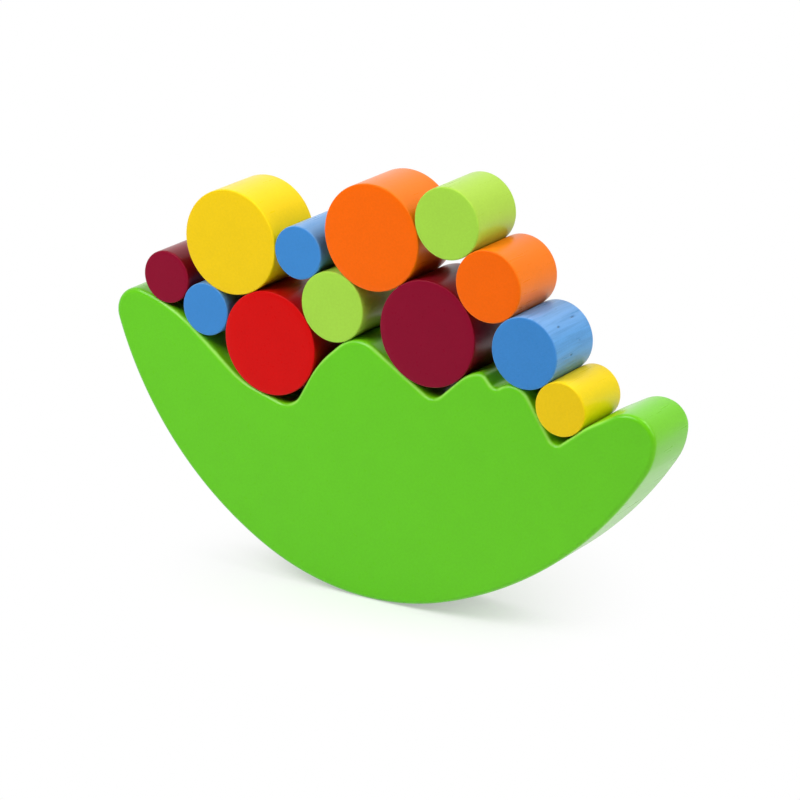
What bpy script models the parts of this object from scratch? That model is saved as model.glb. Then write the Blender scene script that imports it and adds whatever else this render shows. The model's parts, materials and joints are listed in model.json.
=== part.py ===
"""Stacking balance game: a crescent rocker with a wavy top edge and twelve loose wooden cylinders.

Metres, +Z up. The front faces the -Y side. The origin lies on the floor, midway between the tips of
the two horns and halfway through the thickness of the board.
"""

from collections import namedtuple
from math import acos, atan2, ceil, cos, hypot, pi, radians, sin, tan

import bmesh
import bpy
import numpy as np

# Rocker board
BOARD_THICKNESS = 0.033
EDGE_RADIUS = 0.001

# Curved underside, three arcs that run into one another, with angles from the point on the floor
KEEL_RADIUS = 0.128
KEEL_LEFT_ANGLE = radians(28.7)
KEEL_RIGHT_ANGLE = radians(18.1)
LEFT_FLANK_RADIUS = 0.172
LEFT_FLANK_END_ANGLE = radians(72.3)
RIGHT_FLANK_RADIUS = 0.196
RIGHT_FLANK_END_ANGLE = radians(56.6)

# Horns: straight run past the flank, then the rounding
LEFT_HORN_RUN = 0.0224
LEFT_HORN_RADIUS = 0.0123
RIGHT_CHEEK_RUN = 0.0112
RIGHT_CHEEK_RADIUS = 0.032

# Corners of the wavy top before rounding: x from the point on the floor, height, rounding radius
SLOPE_TOP = (-0.1106, 0.1259, 0.077)
SLOPE_FOOT = (-0.0713, 0.0948, 0.040)
LEFT_DIP = (-0.0428, 0.0862, 0.010)
MAIN_PEAK_SIDE = (-0.0289, 0.1107, 0.060)
MAIN_PEAK = (-0.0072, 0.1299, 0.0158)
MIDDLE_DIP = (0.0348, 0.1035, 0.007)
SMALL_PEAK_SIDE = (0.0521, 0.1200, 0.022)
SMALL_PEAK = (0.0607, 0.1220, 0.0044)
NOTCH = (0.0669, 0.1149, 0.0038)
SHOULDER = (0.0793, 0.1225, 0.0102)
RIGHT_DIP = (0.0985, 0.0931, 0.004)
RIGHT_SLOPE = (0.1139, 0.1056, 0.0585)
RIGHT_HORN_TOP = (0.1343, 0.1170, 0.0166)
RIGHT_HORN_TIP = (0.1505, 0.1123, 0.0118)

# Loose cylinders, cut as long as the board is thick
LARGE_DIAMETER = 0.0502
MEDIUM_DIAMETER = 0.0335
SMALL_DIAMETER = 0.0252
CYLINDER_LENGTH = BOARD_THICKNESS
RIM_RADIUS = 0.0008

# Gap kept wherever one piece rests on another
CLEARANCE = 0.0003

# Fineness of the facets
ARC_SAG = 0.00006
ARC_STEP_MAX = radians(10)
CYLINDER_SIDES = 48
RIM_STEPS = 2
EDGE_STEPS = 2
SHARP_ANGLE = radians(50)
GROUND_STEP = 0.00025
SEARCH_STEPS = 1000
SEARCH_PASSES = 2
WELD_DISTANCE = 0.00001

# Paint, as sRGB bytes, and its roughness
GREEN = (104, 200, 45)
YELLOW = (240, 205, 36)
RED = (212, 16, 18)
ORANGE = (246, 104, 20)
BURGUNDY = (138, 22, 48)
LIME = (155, 212, 66)
BLUE = (66, 134, 205)
PAINT_ROUGHNESS = 0.3

Corner = namedtuple("Corner", "x z radius")
Resting = namedtuple("Resting", "x z radius")


def clear_scene():
    """Remove whatever the scene holds."""
    for old in list(bpy.data.objects):
        bpy.data.objects.remove(old, do_unlink=True)


def paint(name, srgb):
    """Opaque satin paint of one colour."""
    material = bpy.data.materials.new(name)
    material.use_nodes = True
    shader = material.node_tree.nodes["Principled BSDF"]
    linear = [(channel / 255) ** 2.2 for channel in srgb]
    shader.inputs["Base Color"].default_value = (*linear, 1)
    shader.inputs["Roughness"].default_value = PAINT_ROUGHNESS
    shader.inputs["Metallic"].default_value = 0
    return material


def flank_corners(side, start_angle, end_angle, flank_radius, run, end_radius):
    """Corner of the flank's arc and of the rounding past it, on one side (-1 left, 1 right)."""
    start = np.array([side * KEEL_RADIUS * sin(start_angle), KEEL_RADIUS * (1 - cos(start_angle))])
    start_way = np.array([side * cos(start_angle), sin(start_angle)])
    end_way = np.array([side * cos(end_angle), sin(end_angle)])
    tangent = flank_radius * tan((end_angle - start_angle) / 2)
    flank = start + start_way * tangent
    beyond = flank + end_way * (tangent + run)
    return Corner(*flank, flank_radius), Corner(*beyond, end_radius)


def keel_corner():
    """Corner whose rounding is the keel's arc, which touches the floor at x = 0."""
    half = (KEEL_LEFT_ANGLE + KEEL_RIGHT_ANGLE) / 2
    lean = (KEEL_RIGHT_ANGLE - KEEL_LEFT_ANGLE) / 2
    reach = KEEL_RADIUS / cos(half)
    return Corner(reach * sin(lean), KEEL_RADIUS - reach * cos(lean), KEEL_RADIUS)


def rocker_corners():
    """Corners of the whole outline, clockwise from the left horn."""
    left_flank, left_horn = flank_corners(
        -1, KEEL_LEFT_ANGLE, LEFT_FLANK_END_ANGLE, LEFT_FLANK_RADIUS, LEFT_HORN_RUN, LEFT_HORN_RADIUS)
    right_flank, right_cheek = flank_corners(
        1, KEEL_RIGHT_ANGLE, RIGHT_FLANK_END_ANGLE, RIGHT_FLANK_RADIUS, RIGHT_CHEEK_RUN, RIGHT_CHEEK_RADIUS)
    wave = [SLOPE_TOP, SLOPE_FOOT, LEFT_DIP, MAIN_PEAK_SIDE, MAIN_PEAK, MIDDLE_DIP, SMALL_PEAK_SIDE,
            SMALL_PEAK, NOTCH, SHOULDER, RIGHT_DIP, RIGHT_SLOPE, RIGHT_HORN_TOP, RIGHT_HORN_TIP]
    wave = [Corner(*corner) for corner in wave]
    return [left_horn, *wave, right_cheek, right_flank, keel_corner(), left_flank]


def rounded_outline(corners):
    """Closed outline with every corner rounded to its radius, or as far as its two sides allow."""
    count = len(corners)
    points = np.array([(corner.x, corner.z) for corner in corners])
    sides = np.roll(points, -1, axis=0) - points
    lengths = np.hypot(sides[:, 0], sides[:, 1])
    ways = sides / lengths[:, None]
    turns = []
    for index in range(count):
        before, after = ways[index - 1], ways[index]
        turns.append(atan2(before[0] * after[1] - before[1] * after[0], before @ after))
    tangents = np.array([corner.radius * abs(tan(turn / 2)) for corner, turn in zip(corners, turns)])
    room = lengths / (tangents + np.roll(tangents, -1))
    fit = np.minimum(1, np.minimum(room, np.roll(room, 1)))

    outline = []
    for index, corner in enumerate(corners):
        turn = turns[index]
        radius = corner.radius * fit[index]
        before = ways[index - 1]
        start = points[index] - before * tangents[index] * fit[index]
        inward = np.array([-before[1], before[0]]) * np.sign(turn)
        centre = start + inward * radius
        step = min(ARC_STEP_MAX, 2 * acos(1 - ARC_SAG / radius))
        steps = ceil(abs(turn) / step)
        for angle in np.linspace(0, turn, steps + 1):
            spin = np.array([[cos(angle), -sin(angle)], [sin(angle), cos(angle)]])
            outline.append(centre + spin @ (start - centre))
    return without_repeats(np.array(outline))


def without_repeats(outline):
    """Outline without the points that fall on the one before them, where two arcs meet."""
    distances = np.hypot(*(outline - np.roll(outline, 1, axis=0)).T)
    return outline[distances > ARC_SAG]


def dense(outline):
    """The same closed outline with points close together along every side."""
    points = []
    for start, end in zip(outline, np.roll(outline, -1, axis=0)):
        steps = max(1, ceil(hypot(*(end - start)) / GROUND_STEP))
        points.extend(start + (end - start) * step / steps for step in range(steps))
    return np.array(points)


class Pile:
    """What lies on the rocker so far. Each new cylinder is let down and rolls into the lowest place."""

    def __init__(self, outline):
        self.ground = dense(outline)
        self.resting = []

    def height(self, x, radius):
        """Height of the cylinder's axis when it is let down at x onto the rocker and the pile."""
        reach = radius + CLEARANCE
        near = self.ground[np.abs(self.ground[:, 0] - x) < reach]
        height = np.max(near[:, 1] + np.sqrt(reach ** 2 - (near[:, 0] - x) ** 2))
        for other in self.resting:
            apart = other.radius + reach
            offset = abs(other.x - x)
            if offset < apart:
                height = max(height, other.z + np.sqrt(apart ** 2 - offset ** 2))
        return height

    def settle(self, diameter, left, right):
        """Lay a cylinder in the lowest place between two values of x."""
        radius = diameter / 2
        for _ in range(SEARCH_PASSES):
            places = np.linspace(left, right, SEARCH_STEPS)
            heights = [self.height(x, radius) for x in places]
            lowest = int(np.argmin(heights))
            left = places[max(lowest - 1, 0)]
            right = places[min(lowest + 1, SEARCH_STEPS - 1)]
        rested = Resting(places[lowest], heights[lowest], radius)
        self.resting.append(rested)
        return rested


def build_rocker(outline, collection):
    """The board: the outline as a filled 2D curve, extruded, with rounded edges."""
    curve = bpy.data.curves.new("rocker_base", "CURVE")
    curve.dimensions = "2D"
    curve.fill_mode = "BOTH"
    curve.extrude = BOARD_THICKNESS / 2 - EDGE_RADIUS
    curve.bevel_depth = EDGE_RADIUS
    curve.bevel_resolution = EDGE_STEPS
    curve.offset = -EDGE_RADIUS
    spline = curve.splines.new("POLY")
    spline.points.add(len(outline) - 1)
    for point, (x, z) in zip(spline.points, outline):
        point.co = (x, z, 0, 1)
    spline.use_cyclic_u = True
    spline.use_smooth = True

    rocker = bpy.data.objects.new("rocker_base", curve)
    rocker.rotation_euler = (pi / 2, 0, 0)
    weld = rocker.modifiers.new("join_faces", "WELD")
    weld.merge_threshold = WELD_DISTANCE
    curve.materials.append(paint("green_paint", GREEN))
    collection.objects.link(rocker)


def build_cylinder(name, place, srgb, collection):
    """One loose cylinder with eased rims, lying along Y, with its origin in its middle."""
    mesh = bpy.data.meshes.new(name)
    shape = bmesh.new()
    bmesh.ops.create_cone(shape, cap_ends=True, segments=CYLINDER_SIDES, radius1=place.radius,
                          radius2=place.radius, depth=CYLINDER_LENGTH)
    shape.to_mesh(mesh)
    shape.free()
    mesh.shade_smooth()
    mesh.set_sharp_from_angle(angle=SHARP_ANGLE)
    mesh.materials.append(paint(name + "_paint", srgb))

    cylinder = bpy.data.objects.new(name, mesh)
    cylinder.location = (place.x, 0, place.z)
    cylinder.rotation_euler = (pi / 2, 0, 0)
    rim = cylinder.modifiers.new("eased_rims", "BEVEL")
    rim.width = RIM_RADIUS
    rim.segments = RIM_STEPS
    rim.limit_method = "ANGLE"
    rim.angle_limit = SHARP_ANGLE
    collection.objects.link(cylinder)


def main():
    clear_scene()
    collection = bpy.data.collections.new("stacking_balance_game")
    bpy.context.scene.collection.children.link(collection)

    outline = rounded_outline(rocker_corners())
    middle = (outline[:, 0].min() + outline[:, 0].max()) / 2
    outline -= (middle, outline[:, 1].min())
    build_rocker(outline, collection)

    # Landmarks along the top, from the left: each cylinder settles between two of them
    landmarks = (LEFT_DIP, MAIN_PEAK, SMALL_PEAK, SHOULDER, RIGHT_HORN_TOP)
    left_dip_x, main_peak_x, small_peak_x, shoulder_x, right_horn_x = (x - middle for x, _, _ in landmarks)
    slope = outline[outline[:, 0] < left_dip_x]
    left_horn_x = slope[np.argmax(slope[:, 1]), 0]

    # The order in which the pile is laid
    pile = Pile(outline)
    red = pile.settle(LARGE_DIAMETER, left_horn_x, main_peak_x)
    burgundy = pile.settle(LARGE_DIAMETER, main_peak_x, small_peak_x)
    small_yellow = pile.settle(SMALL_DIAMETER, shoulder_x, right_horn_x)
    lower_lime = pile.settle(MEDIUM_DIAMETER, red.x, main_peak_x)
    medium_blue = pile.settle(MEDIUM_DIAMETER, small_peak_x, small_yellow.x)
    lower_blue = pile.settle(SMALL_DIAMETER, left_horn_x, red.x)
    small_burgundy = pile.settle(SMALL_DIAMETER, left_horn_x, lower_blue.x)
    yellow = pile.settle(LARGE_DIAMETER, lower_blue.x, red.x)
    upper_blue = pile.settle(SMALL_DIAMETER, yellow.x, lower_lime.x)
    orange = pile.settle(LARGE_DIAMETER, lower_lime.x, burgundy.x)
    medium_orange = pile.settle(MEDIUM_DIAMETER, burgundy.x, medium_blue.x)
    upper_lime = pile.settle(MEDIUM_DIAMETER, orange.x, medium_orange.x)

    cylinders = [
        ("large_red_cylinder", red, RED),
        ("large_burgundy_cylinder", burgundy, BURGUNDY),
        ("large_yellow_cylinder", yellow, YELLOW),
        ("large_orange_cylinder", orange, ORANGE),
        ("medium_lime_cylinder_lower", lower_lime, LIME),
        ("medium_lime_cylinder_upper", upper_lime, LIME),
        ("medium_blue_cylinder", medium_blue, BLUE),
        ("medium_orange_cylinder", medium_orange, ORANGE),
        ("small_yellow_cylinder", small_yellow, YELLOW),
        ("small_burgundy_cylinder", small_burgundy, BURGUNDY),
        ("small_blue_cylinder_lower", lower_blue, BLUE),
        ("small_blue_cylinder_upper", upper_blue, BLUE),
    ]
    for name, place, srgb in cylinders:
        build_cylinder(name, place, srgb, collection)


main()
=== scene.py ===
"""Looks of the stacking balance game: a painted wooden rocker and its cylinders on a white floor.

Metres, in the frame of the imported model. Each of its solids is replaced by a finer piece in its place,
drawn out a little until the pieces all but touch, with smoothly rounded edges, surfaces as uneven as
sanded wood, and satin paint.
"""

import json
from collections import namedtuple
from math import ceil, cos, hypot, pi, radians, sin

import bpy
import numpy as np
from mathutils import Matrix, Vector, noise
from mathutils.geometry import delaunay_2d_cdt

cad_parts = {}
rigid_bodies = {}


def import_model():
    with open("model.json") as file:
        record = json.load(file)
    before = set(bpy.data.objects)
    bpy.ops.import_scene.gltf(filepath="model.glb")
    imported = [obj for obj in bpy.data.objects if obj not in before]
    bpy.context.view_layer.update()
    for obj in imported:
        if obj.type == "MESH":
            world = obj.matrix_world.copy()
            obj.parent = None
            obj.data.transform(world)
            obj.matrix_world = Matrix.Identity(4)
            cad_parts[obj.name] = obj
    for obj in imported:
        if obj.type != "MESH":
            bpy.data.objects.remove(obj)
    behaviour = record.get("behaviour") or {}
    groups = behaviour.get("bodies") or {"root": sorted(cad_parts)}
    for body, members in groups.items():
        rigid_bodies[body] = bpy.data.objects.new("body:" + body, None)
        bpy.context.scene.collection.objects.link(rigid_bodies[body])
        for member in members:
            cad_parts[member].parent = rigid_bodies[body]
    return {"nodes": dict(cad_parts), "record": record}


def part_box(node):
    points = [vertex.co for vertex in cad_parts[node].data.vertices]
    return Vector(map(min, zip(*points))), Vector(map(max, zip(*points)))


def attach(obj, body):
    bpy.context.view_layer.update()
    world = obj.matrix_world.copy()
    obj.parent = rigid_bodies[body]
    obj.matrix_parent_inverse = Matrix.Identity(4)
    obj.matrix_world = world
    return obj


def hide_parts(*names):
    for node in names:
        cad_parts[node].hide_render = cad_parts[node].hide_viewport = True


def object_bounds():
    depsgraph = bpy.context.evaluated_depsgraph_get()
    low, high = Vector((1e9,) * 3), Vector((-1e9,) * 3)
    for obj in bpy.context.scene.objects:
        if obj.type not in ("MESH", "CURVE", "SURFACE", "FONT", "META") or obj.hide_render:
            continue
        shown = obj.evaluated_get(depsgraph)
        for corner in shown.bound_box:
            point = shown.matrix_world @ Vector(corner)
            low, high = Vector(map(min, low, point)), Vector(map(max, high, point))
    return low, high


for leftover in list(bpy.data.objects):
    bpy.data.objects.remove(leftover, do_unlink=True)
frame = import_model()
cad_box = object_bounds()

# Bodies and material slots of the frame's nodes
record = frame["record"]
BODIES = {node: body for body, nodes in record["behaviour"]["bodies"].items() for node in nodes}
SLOTS = {part["node"]: part["material_slot"] for part in record["subparts"]}

ROCKER = "rocker_base"

# Pieces that lie on each other: the frame keeps a gap between them, and each is drawn out by nearly half
# of it. The board takes all of that where its outline faces up, a share where it is upright, none below.
SEATING = 0.00014
SEATING_UPRIGHT = 0.5

# Reading the board's outline from the frame: decimals kept, and play in finding its front
FRAME_DECIMALS = 6
FRAME_PLAY = 0.0004

# Rocker: rounding of its edges, which on a tight peak is a share of the peak's own radius and eases from
# point to point on the way there
EDGE_RADIUS = 0.0022
EDGE_PEAK_SHARE = 0.5
EDGE_EASING = 0.0001

# Rocker: fineness of the mesh
EDGE_STEPS = 10
OUTLINE_STEP = 0.0008
CURVE_STEP = 0.0001
WALL_ROWS = 14
FACE_BORDER = 0.0004
FACE_STEP = 0.004

# Triangles of its flat faces: the kind of result that stays inside a border, and the play in finding it
TRIANGLES_INSIDE = 1
TRIANGLE_PLAY = 1e-9

# Cylinders: rounding of the rims and fineness of the mesh
RIM_RADIUS = 0.0007
RIM_STEPS = 5
FACE_RINGS = 8
SIDE_STEP = 0.0012
TURN_STEP = 0.0008
DENTED_STEP = 0.00035

# Waves that sanding leaves under the paint, drawn out along the thickness
WAVE_HEIGHT = 0.000015
WAVE_DENSITY = 170
WAVE_STRETCH = 0.12

# Open pores that the paint hasn't filled, on one cylinder: angle from +X, distance from the front, sizes
Pore = namedtuple("Pore", "angle along length width depth")
DENTED = "medium_blue_cylinder"
PORES = [
    Pore(radians(49.7), 0.0238, 0.0030, 0.0007, 0.00035),
    Pore(radians(45.1), 0.0098, 0.0018, 0.0008, 0.00035),
    Pore(radians(-3.8), 0.0129, 0.0017, 0.0007, 0.00030),
    Pore(radians(12.6), 0.0209, 0.0016, 0.0006, 0.00012),
    Pore(radians(74.8), 0.0202, 0.0024, 0.0005, 0.00012),
]

# How steep the sides of the pores are, and the darker tone in them, partly the open pores' own colour and
# partly painted shade in the recess
PORE_STEEPNESS = 4
PORE_WOOD_AND_SHADE_TONE = 0.25

# Paint by material slot, as sRGB bytes: on the faces, which are end grain, and on the sides, whose colours
# are partly the side grain's own and partly painted shade and sheen, as in the darker red and burgundy
# sides and the paler blue one
Paint = namedtuple("Paint", "face side")
PAINTS = {
    "green_paint": Paint((100, 203, 8), (111, 198, 14)),
    "yellow_paint": Paint((240, 202, 20), (243, 210, 6)),
    "red_paint": Paint((212, 3, 3), (180, 3, 3)),
    "orange_paint": Paint((249, 104, 2), (240, 118, 2)),
    "burgundy_paint": Paint((137, 4, 42), (128, 4, 28)),
    "lime_paint": Paint((165, 216, 72), (168, 207, 68)),
    "blue_paint": Paint((62, 135, 206), (87, 151, 211)),
}

# Noise in the paint and the wood. It shifts from piece to piece, and the grain is drawn out along Y.
Pattern = namedtuple("Pattern", "scale detail roughness")
MOTTLE = Pattern(70, 3, 0.55)
SPECKLE = Pattern(900, 2, 0.5)
GRAIN = Pattern(620, 4, 0.6)
GRAIN_STRETCH = 0.06
PATTERN_SHIFT = (0.37, 0.11, 0.23)

# Unevenness of the colour, from mottle and speckle: the mottle's share, and the span of noise and of tone
MOTTLE_SHARE = 0.35
UNEVEN_SPAN = (0.3, 0.7)
UNEVEN_TONE = (0.97, 1.03)

# Satin finish: gloss that is left where the paint is seen straight on, roughness by the grain under it,
# clear lacquer on the rocker, and the fine bumps of dried paint
GLOSS = 0.09
ROUGHNESS = (0.27, 0.31)
ROUGHNESS_SPAN = (0.25, 0.75)
ROCKER_LACQUER = 0.35
LACQUER_ROUGHNESS = 0.25
BUMP = 0.12
BUMP_HEIGHT = 0.0002

# Streaks of grain that show through the paint, most on the cylinder with open pores
STREAK = 0.008
STREAK_DENTED = 0.7
STREAK_HEIGHT = 0.0003
STREAK_SHADE = 0.12
STREAK_SPAN = (0.35, 0.65)

# Painted sheen by material slot: paler paint on what faces up, least where the grain lies low, and whiter
# by a share
PAINTED_SHEEN = {"blue_paint": 0.3}
PAINTED_SHEEN_FACING_SPAN = (0.3, 0.95)
PAINTED_SHEEN_GRAIN_SPAN = (0.3, 0.6)
PAINTED_SHEEN_LEAST = 0.4
PAINTED_SHEEN_WHITE = 0.25

# Paler rounded edges, partly thin paint and partly a painted highlight: how much, by which gain and tint,
# and how narrow the line is
PALE_ROCKER = 1.0
PALE_CYLINDERS = 0.15
PALE_GAIN = 1.2
PALE_TINT = (0.20, 0.10, 0.11)
PALE_SHARPNESS = 4

# Where the edges are paler, from thin paint and a painted highlight: a share on upright edges, more on
# those that face up, none on level ones, and none near the board's two ends. The last value guards a
# division against zero.
PALE_UPRIGHT = 0.3
PALE_RISE = 1.4
PALE_LEVEL_DROP = 12
PALE_FROM_END = 0.020
PALE_FADE = 0.008
TINY = 1e-6

# Camera round the point that the middle of the picture shows
CAMERA_TARGET = Vector((0.0143, -0.0165, 0.1016))
CAMERA_AZIMUTH = radians(32.492)
CAMERA_ELEVATION = radians(18.531)
CAMERA_DISTANCE = 1.64436
CAMERA_LENS = 161.86
CAMERA_SENSOR = 36

# Soft boxes round the middle of the object: where they stand, how wide they are and their power
Lamp = namedtuple("Lamp", "name azimuth elevation distance size watts")
LAMPS = [
    Lamp("front_left_box", radians(-32), radians(48), 0.8, 0.53, 5.2),
    Lamp("right_box", radians(90), radians(30), 1.2, 0.8, 4.4),
    Lamp("high_right_box", radians(90), radians(58), 1.2, 0.8, 7.0),
    Lamp("back_right_box", radians(140), radians(60), 1.2, 0.8, 2.6),
]
AMBIENT = 0.02

# Floor: partly real under the object, where it keeps the shadow, and plain white further out
FLOOR_SIZE = 8
FLOOR_TONE = 0.95
FLOOR_WHITE_RADIUS = 0.13
FLOOR_WHITE_SHARE = 0.35


def linear(srgb):
    """Linear colour, with alpha, of sRGB bytes."""
    shares = [channel / 255 for channel in srgb]
    return (*[s / 12.92 if s <= 0.04045 else ((s + 0.055) / 1.055) ** 2.4 for s in shares], 1)


def toned(colour, gain, tint=(0, 0, 0)):
    """Colour with its channels times a gain, and a tint added to them."""
    return (*[min(1, channel * gain + more) for channel, more in zip(colour, tint)], 1)


def direction(azimuth, elevation):
    """Way out from the object. Azimuth 0 is its front, 90 degrees its right."""
    return Vector((sin(azimuth) * cos(elevation), -cos(azimuth) * cos(elevation), sin(elevation)))


class Tree:
    """Short ways to add and join the nodes of a material or world."""

    def __init__(self, owner):
        owner.use_nodes = True
        self.nodes = owner.node_tree.nodes
        self.links = owner.node_tree.links

    def add(self, kind, inputs=None, **settings):
        """New node with its settings, and with values or other nodes' outputs at its inputs."""
        node = self.nodes.new(kind)
        for name, value in settings.items():
            setattr(node, name, value)
        for name, value in (inputs or {}).items():
            self.put(node.inputs[name], value)
        return node

    def put(self, socket, value):
        """Set a socket to a value, or join it to another node's output."""
        if isinstance(value, bpy.types.NodeSocket):
            self.links.new(value, socket)
        else:
            socket.default_value = value

    def mix(self, factor, first, second):
        """Colour between two colours."""
        node = self.add("ShaderNodeMix", data_type="RGBA", clamp_factor=True)
        sockets = {socket.identifier: socket for socket in node.inputs}
        self.put(sockets["Factor_Float"], factor)
        self.put(sockets["A_Color"], first)
        self.put(sockets["B_Color"], second)
        return next(socket for socket in node.outputs if socket.identifier == "Result_Color")

    def math(self, operation, first, second, clamp=False):
        """Result of one operation on two values."""
        node = self.add("ShaderNodeMath", operation=operation, use_clamp=clamp)
        self.put(node.inputs[0], first)
        self.put(node.inputs[1], second)
        return node.outputs[0]

    def span(self, value, low, high, to_low=0.0, to_high=1.0):
        """Value carried smoothly from one span to another, and held at its ends."""
        node = self.add("ShaderNodeMapRange", interpolation_type="SMOOTHSTEP", inputs={
            "Value": value, "From Min": low, "From Max": high, "To Min": to_low, "To Max": to_high})
        return node.outputs["Result"]

    def noise(self, place, pattern):
        """Noise of a pattern at a place."""
        node = self.add("ShaderNodeTexNoise", inputs={
            "Vector": place, "Scale": pattern.scale,
            "Detail": pattern.detail, "Roughness": pattern.roughness})
        return node.outputs["Fac"]


def painted_wood(node, seed):
    """Satin paint of one piece, over wood whose grain runs along Y."""
    material = bpy.data.materials.new(node + "_paint")
    tree = Tree(material)
    shader = tree.nodes["Principled BSDF"]
    streak = STREAK_DENTED if node == DENTED else STREAK

    place = tree.add("ShaderNodeTexCoord").outputs["Object"]
    shift = [seed * step for step in PATTERN_SHIFT]
    even = tree.add("ShaderNodeMapping", inputs={"Vector": place, "Location": shift})
    drawn = tree.add("ShaderNodeMapping", inputs={
        "Vector": place, "Location": shift, "Scale": (1, GRAIN_STRETCH, 1)})
    mottle = tree.noise(even.outputs["Vector"], MOTTLE)
    speckle = tree.noise(even.outputs["Vector"], SPECKLE)
    grain = tree.noise(drawn.outputs["Vector"], GRAIN)

    tree.put(shader.inputs["Base Color"], paint_colour(tree, node, streak, mottle, speckle, grain))
    tree.put(shader.inputs["Roughness"], tree.span(grain, *ROUGHNESS_SPAN, *ROUGHNESS))
    shader.inputs["Specular Tint"].default_value = (GLOSS, GLOSS, GLOSS, 1)
    shader.inputs["Coat Weight"].default_value = ROCKER_LACQUER if node == ROCKER else 0
    shader.inputs["Coat Roughness"].default_value = LACQUER_ROUGHNESS

    bumps = tree.add("ShaderNodeBump", inputs={
        "Strength": BUMP, "Distance": BUMP_HEIGHT, "Height": speckle})
    streaks = tree.add("ShaderNodeBump", inputs={
        "Strength": streak, "Distance": STREAK_HEIGHT, "Height": grain, "Normal": bumps.outputs["Normal"]})
    tree.put(shader.inputs["Normal"], streaks.outputs["Normal"])
    return material


def paint_colour(tree, node, streak, mottle, speckle, grain):
    """Colour of a piece's paint: uneven, streaked on the sides, with painted shade and sheen in the side
    colour, paler edges that are partly a painted highlight, a painted sheen on what faces up, and pores
    darkened partly with painted shade.
    """
    slot = SLOTS[node]
    # The side colour holds painted shade and sheen of the sides as well as the paint's own colour
    face, sides = linear(PAINTS[slot].face), linear(PAINTS[slot].side)
    side, pale_edge_highlight, up, pore = (tree.add("ShaderNodeAttribute", attribute_name=attribute).outputs["Fac"]
                           for attribute in ("side", "pale_edge_highlight", "up", "pore"))

    shade = STREAK_SHADE * streak
    streaked = tree.mix(tree.span(grain, *STREAK_SPAN), toned(sides, 1 - shade), toned(sides, 1 + shade))
    variation = tree.math("ADD", tree.math("MULTIPLY", mottle, MOTTLE_SHARE),
                          tree.math("MULTIPLY", speckle, 1 - MOTTLE_SHARE))
    colour = tree.add("ShaderNodeVectorMath", operation="SCALE", inputs={
        0: tree.mix(side, face, streaked),
        "Scale": tree.span(variation, *UNEVEN_SPAN, *UNEVEN_TONE)}).outputs[0]

    paleness = PALE_ROCKER if node == ROCKER else PALE_CYLINDERS
    # Paler edges: partly thin paint, partly a painted highlight
    colour = tree.mix(tree.math("MULTIPLY", pale_edge_highlight, paleness), colour, toned(face, PALE_GAIN, PALE_TINT))
    # Painted sheen: paler paint on what faces up, in streaks along the grain
    painted_sheen = tree.math("MULTIPLY", tree.span(up, *PAINTED_SHEEN_FACING_SPAN, 0, PAINTED_SHEEN.get(slot, 0)),
                     tree.span(grain, *PAINTED_SHEEN_GRAIN_SPAN, PAINTED_SHEEN_LEAST, 1))
    colour = tree.mix(painted_sheen, colour, toned(sides, 1 - PAINTED_SHEEN_WHITE, (PAINTED_SHEEN_WHITE, PAINTED_SHEEN_WHITE, PAINTED_SHEEN_WHITE)))
    # Darker by the depth of the pores: partly their own colour, partly painted shade
    return tree.mix(pore, colour, toned(sides, PORE_WOOD_AND_SHADE_TONE))


def uneven(points, normals, seed):
    """Points moved a little along their normals, in waves drawn out along Y."""
    drawn = points * (1, WAVE_STRETCH, 1) * WAVE_DENSITY + seed
    heights = np.array([noise.noise(Vector(place)) for place in drawn])
    return points + normals * (WAVE_HEIGHT * heights)[:, None]


def ring_quads(rows, columns):
    """Faces between closed rows of points, which run anticlockwise seen from the front."""
    faces = []
    for row in range(rows - 1):
        for column in range(columns):
            after = (column + 1) % columns
            here, there = row * columns, (row + 1) * columns
            faces.append((here + column, there + column, there + after, here + after))
    return faces


def thin_paint_and_painted_highlight(normals):
    """Paleness of the edges, partly thin paint and partly a painted highlight: most on rounded edges that
    face up and slope.
    """
    facing = np.abs(normals[:, 1])
    across = np.sqrt(np.maximum(0, 1 - facing ** 2))
    level = np.clip(normals[:, 2] / np.maximum(across, TINY), 0, 1)
    upward = np.clip(PALE_UPRIGHT + PALE_RISE * normals[:, 2], 0, 1)
    return (2 * facing * across) ** PALE_SHARPNESS * upward * (1 - level ** PALE_LEVEL_DROP)


def add_piece(node, points, normals, faces, pale_edge_highlight, pore, centre, seed):
    """Finish one piece: mesh, material, and what it stands for and rides on."""
    mesh = bpy.data.meshes.new(node + "_painted")
    mesh.from_pydata(uneven(points, normals, seed).tolist(), [], faces)
    # Share of the side colour, with its painted shade and sheen, against the face colour
    side = 1 - normals[:, 1] ** 2
    # How much each point faces up, which places the painted sheen
    upward = np.maximum(0, normals[:, 2])
    for name, values in (("side", side), ("pale_edge_highlight", pale_edge_highlight), ("up", upward), ("pore", pore)):
        attribute = mesh.attributes.new(name, "FLOAT", "POINT")
        attribute.data.foreach_set("value", np.asarray(values, np.float32))
    mesh.shade_smooth()
    mesh.materials.append(painted_wood(node, seed))

    piece = bpy.data.objects.new(node + "_painted", mesh)
    piece.location = centre
    bpy.context.scene.collection.objects.link(piece)
    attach(piece, BODIES[node])
    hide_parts(node)


def frame_outline(node):
    """Outline (x, z) of the board's wall, anticlockwise, from the frame's solid."""
    mesh = frame["nodes"][node].data
    corners = [tuple(round(value, FRAME_DECIMALS) for value in vertex.co) for vertex in mesh.vertices]
    wall_y = min(y for _, y, _ in corners if y > 0)
    following = {}
    for polygon in mesh.polygons:
        places = [corners[index] for index in polygon.vertices]
        if min(y for _, y, _ in places) > -wall_y + FRAME_PLAY:
            continue
        for start, end in zip(places, places[1:] + places[:1]):
            if start[1] == end[1] == wall_y:
                following[start] = end
    outline = [next(iter(following))]
    while following[outline[-1]] != outline[0]:
        outline.append(following[outline[-1]])
    outline = np.array(outline)[:, [0, 2]]
    return outline[::turning(outline)]


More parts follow.
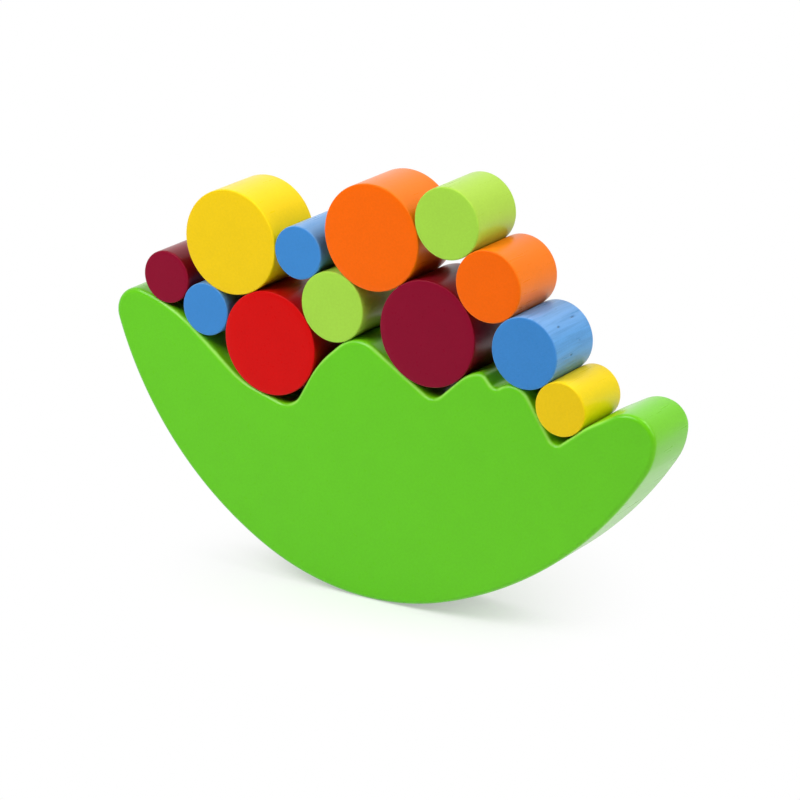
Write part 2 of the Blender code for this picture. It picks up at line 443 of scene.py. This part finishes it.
def turning(outline):
    """1 for a closed outline that runs anticlockwise, and -1 for a clockwise one."""
    x, z = outline.T
    return 1 if np.sum(x * np.roll(z, -1) - np.roll(x, -1) * z) > 0 else -1


def with_straights_filled(outline):
    """Outline with two points more on each long straight side, as far from its ends as the next points."""
    sides = np.roll(outline, -1, axis=0) - outline
    lengths = np.hypot(*sides.T)
    points = []
    for index, (start, side, length) in enumerate(zip(outline, sides, lengths)):
        before, after = lengths[index - 1], lengths[(index + 1) % len(outline)]
        points.append(start)
        if length > before + after:
            points.append(start + side * before / length)
            points.append(start + side * (1 - after / length))
    return np.array(points)


def smooth_outline(outline):
    """Points at even steps on a smooth closed curve through the outline, and their outward normals."""
    knots = with_straights_filled(outline)
    spans = np.sqrt(np.hypot(*(np.roll(knots, -1, axis=0) - knots).T))
    points = []
    count = len(knots)
    for index in range(count):
        before, start, end, after = (knots[(index + step) % count] for step in (-1, 0, 1, 2))
        earlier, span, later = (spans[(index + step) % count] for step in (-1, 0, 1))
        leaving = span * ((start - before) / earlier - (end - before) / (earlier + span)
                          + (end - start) / span)
        arriving = span * ((end - start) / span - (after - start) / (span + later)
                           + (after - end) / later)
        steps = ceil(hypot(*(end - start)) / CURVE_STEP)
        for share in np.arange(steps) / steps:
            square, cube = share ** 2, share ** 3
            points.append((2 * cube - 3 * square + 1) * start + (cube - 2 * square + share) * leaving
                          + (3 * square - 2 * cube) * end + (cube - square) * arriving)
    points = even_steps(np.array(points))
    ways = np.roll(points, -1, axis=0) - np.roll(points, 1, axis=0)
    normals = np.stack([ways[:, 1], -ways[:, 0]], axis=1) / np.hypot(*ways.T)[:, None]
    return points, normals


def even_steps(outline):
    """The same closed outline with its points at even steps."""
    closed = np.vstack([outline, outline[:1]])
    run = np.append(0, np.cumsum(np.hypot(*np.diff(closed, axis=0).T)))
    places = np.linspace(0, run[-1], ceil(run[-1] / OUTLINE_STEP), endpoint=False)
    return np.column_stack([np.interp(places, run, values) for values in closed.T])


def inside(points, outline):
    """Which of the points lie within a closed outline."""
    found = np.zeros(len(points), bool)
    for (x1, z1), (x2, z2) in zip(outline, np.roll(outline, -1, axis=0)):
        crosses = (points[:, 1] < z1) != (points[:, 1] < z2)
        if crosses.any():
            reach = x1 + (points[:, 1] - z1) * (x2 - x1) / (z2 - z1)
            found ^= crosses & (points[:, 0] < reach)
    return found


def face_triangles(border):
    """Extra points inside a closed border, and the triangles over all of them, border points first."""
    low, high = border.min(0), border.max(0)
    columns = np.arange(low[0], high[0], FACE_STEP)
    rows = np.arange(low[1], high[1], FACE_STEP)
    grid = np.array([(x, z) for z in rows for x in columns])
    grid = grid[inside(grid, border)]
    nearest = np.array([np.min(np.hypot(*(border - point).T)) for point in grid])
    grid = grid[nearest > FACE_STEP / 2]
    count = len(border)
    edges = [(index, (index + 1) % count) for index in range(count)]
    places = [Vector(point) for point in np.vstack([border, grid])]
    _, _, faces, sources, _, _ = delaunay_2d_cdt(places, edges, [], TRIANGLES_INSIDE, TRIANGLE_PLAY)
    return grid, [tuple(sources[index][0] for index in face) for face in faces]


def edge_radii(points, normals):
    """Rounding of the edge at each point of an outline: less on a tight peak, and eased towards it."""
    ways = np.roll(points, -1, axis=0) - np.roll(points, 1, axis=0)
    turns = np.roll(normals, -1, axis=0) - np.roll(normals, 1, axis=0)
    bends = np.sum(turns * ways, axis=1) / np.sum(ways ** 2, axis=1)
    radii = EDGE_PEAK_SHARE / np.maximum(bends, EDGE_PEAK_SHARE / EDGE_RADIUS)
    for _ in range(ceil(EDGE_RADIUS / EDGE_EASING)):
        radii = np.minimum(radii, np.minimum(np.roll(radii, 1), np.roll(radii, -1)) + EDGE_EASING)
    return radii


def board_rings(edge, face_y):
    """Rings over the board: how far in each lies, its y, and the lean of its normals towards the back."""
    wall_y = face_y - edge
    rings = [(edge + FACE_BORDER, np.full(len(edge), -face_y), -pi / 2)]
    for turn in np.linspace(pi / 2, 0, EDGE_STEPS + 1):
        rings.append((edge * (1 - cos(turn)), -wall_y - edge * sin(turn), -turn))
    for share in np.linspace(0, 1, WALL_ROWS + 1)[1:-1]:
        rings.append((np.zeros(len(edge)), wall_y * (2 * share - 1), 0))
    for turn in np.linspace(0, pi / 2, EDGE_STEPS + 1):
        rings.append((edge * (1 - cos(turn)), wall_y + edge * sin(turn), turn))
    rings.append((edge + FACE_BORDER, np.full(len(edge), face_y), pi / 2))
    return rings


def build_rocker(seed):
    """The board: its wall and rounded edges as rings round the outline, and both flat faces."""
    points, normals = smooth_outline(frame_outline(ROCKER))
    upward = np.clip(normals[:, 1] + SEATING_UPRIGHT, 0, 1)
    points = points + normals * (SEATING * upward)[:, None]
    edge = edge_radii(points, normals)
    _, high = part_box(ROCKER)
    rings = board_rings(edge, high.y)
    count = len(points)

    places, leans = [], []
    for inset, y, lean in rings:
        ring = points - normals * inset[:, None]
        places.append(np.column_stack([ring[:, 0], y, ring[:, 1]]))
        leans.append(np.column_stack([normals[:, 0] * cos(lean), np.full(count, sin(lean)),
                                      normals[:, 1] * cos(lean)]))
    faces = ring_quads(len(rings), count)

    border = points - normals * (edge + FACE_BORDER)[:, None]
    filling, triangles = face_triangles(border)
    for side, y in ((-1, -high.y), (1, high.y)):
        border_start = 0 if side < 0 else (len(rings) - 1) * count
        filling_start = sum(len(block) for block in places)
        for triangle in triangles:
            corners = [border_start + index if index < count else filling_start + index - count
                       for index in triangle]
            faces.append(tuple(corners if side < 0 else reversed(corners)))
        places.append(np.column_stack([filling[:, 0], np.full(len(filling), y), filling[:, 1]]))
        leans.append(np.tile((0.0, side, 0.0), (len(filling), 1)))

    places, leans = np.vstack(places), np.vstack(leans)
    from_end = high.x - np.abs(places[:, 0])
    # Pale edge line, thin paint and painted highlight, fading out near the board's two ends
    pale_edge_highlight = thin_paint_and_painted_highlight(leans) * np.clip((from_end - PALE_FROM_END) / PALE_FADE, 0, 1)
    add_piece(ROCKER, places, leans, faces, pale_edge_highlight, np.zeros(len(places)), (0, 0, 0), seed)


def pore_depths(angles, along, radius):
    """Depth of the pores at points on a cylinder's side, given by angle and distance from the front."""
    depths = np.zeros(len(angles))
    for pore in PORES:
        across = (angles - pore.angle + pi) % (2 * pi) - pi
        ratio = (across * radius / pore.width) ** 2 + ((along - pore.along) / pore.length) ** 2
        depths += pore.depth * np.exp(-PORE_STEEPNESS * ratio)
    return depths


def build_cylinder(node, seed):
    """One cylinder: rings from the middle of its front face, over both rims, to that of its back face."""
    low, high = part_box(node)
    centre = (low + high) / 2
    radius, half = (high.x - low.x) / 2 + SEATING, (high.y - low.y) / 2
    core = radius - RIM_RADIUS
    side_step, turn_step = (DENTED_STEP, DENTED_STEP) if node == DENTED else (SIDE_STEP, TURN_STEP)
    columns = ceil(2 * pi * radius / turn_step)
    rows = ceil(2 * half / side_step)

    # Each ring: its radius, its y, and the lean of its normals towards the back
    front = [(core * ring / FACE_RINGS, -half, -pi / 2) for ring in range(1, FACE_RINGS)]
    for turn in np.linspace(pi / 2, 0, RIM_STEPS + 1):
        front.append((core + RIM_RADIUS * cos(turn), -half + RIM_RADIUS * (1 - sin(turn)), -turn))
    side = [(radius, y, 0) for y in np.linspace(RIM_RADIUS - half, half - RIM_RADIUS, rows)[1:-1]]
    back = [(ring, -y, -lean) for ring, y, lean in reversed(front)]
    rings = np.array(front + side + back)

    angles = np.tile(np.arange(columns) * 2 * pi / columns, len(rings))
    radii, ys, leans = (np.repeat(values, columns) for values in rings.T)
    places = np.column_stack([radii * np.cos(angles), ys, radii * np.sin(angles)])
    normals = np.column_stack([np.cos(leans) * np.cos(angles), np.sin(leans),
                               np.cos(leans) * np.sin(angles)])
    pore = np.zeros(len(places))
    if node == DENTED:
        depths = pore_depths(angles, ys + half, radius) * np.cos(leans)
        places = places - normals * depths[:, None]
        pore = np.minimum(1, depths / max(pore.depth for pore in PORES))

    places = np.vstack([places, (0, -half, 0), (0, half, 0)])
    normals = np.vstack([normals, (0, -1, 0), (0, 1, 0)])
    pore = np.append(pore, (0, 0))
    faces = ring_quads(len(rings), columns)
    front_pole, back_pole = len(places) - 2, len(places) - 1
    last = (len(rings) - 1) * columns
    for column in range(columns):
        after = (column + 1) % columns
        faces.append((front_pole, column, after))
        faces.append((back_pole, last + after, last + column))
    add_piece(node, places, normals, faces, thin_paint_and_painted_highlight(normals), pore, centre, seed)


def seen_ray(tree):
    """1 for what the camera sees, directly, in a reflection or through glass, and 0 for other light."""
    path = tree.add("ShaderNodeLightPath")
    seen = tree.math("ADD", path.outputs["Is Camera Ray"], path.outputs["Is Glossy Ray"], clamp=True)
    return tree.math("ADD", seen, path.outputs["Is Transmission Ray"], clamp=True)


def add_floor():
    """White floor that keeps the object's shadow and runs out into plain white."""
    corner = FLOOR_SIZE / 2
    mesh = bpy.data.meshes.new("floor")
    corners = [(-corner, -corner, 0), (corner, -corner, 0), (corner, corner, 0), (-corner, corner, 0)]
    mesh.from_pydata(corners, [], [(0, 1, 2, 3)])
    material = bpy.data.materials.new("floor_white")
    tree = Tree(material)
    tree.nodes.remove(tree.nodes["Principled BSDF"])
    place = tree.add("ShaderNodeTexCoord").outputs["Object"]
    distance = tree.add("ShaderNodeVectorMath", operation="LENGTH", inputs={0: place}).outputs["Value"]
    far = tree.span(distance, 0, FLOOR_WHITE_RADIUS, FLOOR_WHITE_SHARE, 1)
    matt = tree.add("ShaderNodeBsdfDiffuse", inputs={"Color": (FLOOR_TONE, FLOOR_TONE, FLOOR_TONE, 1)})
    white = tree.add("ShaderNodeEmission", inputs={"Strength": 1.0})
    mixed = tree.add("ShaderNodeMixShader", inputs={
        0: tree.math("MULTIPLY", far, seen_ray(tree)), 1: matt.outputs[0], 2: white.outputs[0]})
    tree.put(tree.nodes["Material Output"].inputs["Surface"], mixed.outputs[0])
    mesh.materials.append(material)
    floor = bpy.data.objects.new("floor", mesh)
    bpy.context.scene.collection.objects.link(floor)


def add_world():
    """White surroundings, seen also in reflections, that light the object faintly from all sides."""
    world = bpy.data.worlds.new("white_room")
    tree = Tree(world)
    strength = tree.span(seen_ray(tree), 0, 1, AMBIENT, 1)
    tree.put(tree.nodes["Background"].inputs["Color"], (1, 1, 1, 1))
    tree.put(tree.nodes["Background"].inputs["Strength"], strength)
    bpy.context.scene.world = world


def add_lamps():
    """Soft boxes that face the middle of the object."""
    middle = (cad_box[0] + cad_box[1]) / 2
    for lamp in LAMPS:
        light = bpy.data.lights.new(lamp.name, "AREA")
        light.shape = "DISK"
        light.size = lamp.size
        light.energy = lamp.watts
        holder = bpy.data.objects.new(lamp.name, light)
        back = direction(lamp.azimuth, lamp.elevation)
        holder.location = middle + back * lamp.distance
        holder.rotation_euler = back.to_track_quat("Z", "Y").to_euler()
        bpy.context.scene.collection.objects.link(holder)


def add_camera():
    """Camera at the photograph's viewing angle."""
    camera = bpy.data.objects.new("camera", bpy.data.cameras.new("camera"))
    camera.data.lens = CAMERA_LENS
    camera.data.sensor_width = CAMERA_SENSOR
    back = direction(CAMERA_AZIMUTH, CAMERA_ELEVATION)
    camera.location = CAMERA_TARGET + back * CAMERA_DISTANCE
    camera.rotation_euler = back.to_track_quat("Z", "Y").to_euler()
    bpy.context.scene.collection.objects.link(camera)
    bpy.context.scene.camera = camera


build_rocker(seed=1)
for number, cylinder in enumerate(sorted(set(BODIES) - {ROCKER})):
    build_cylinder(cylinder, seed=2 + number)
add_floor()
add_world()
add_lamps()
add_camera()
bpy.context.scene.view_settings.view_transform = "Standard"
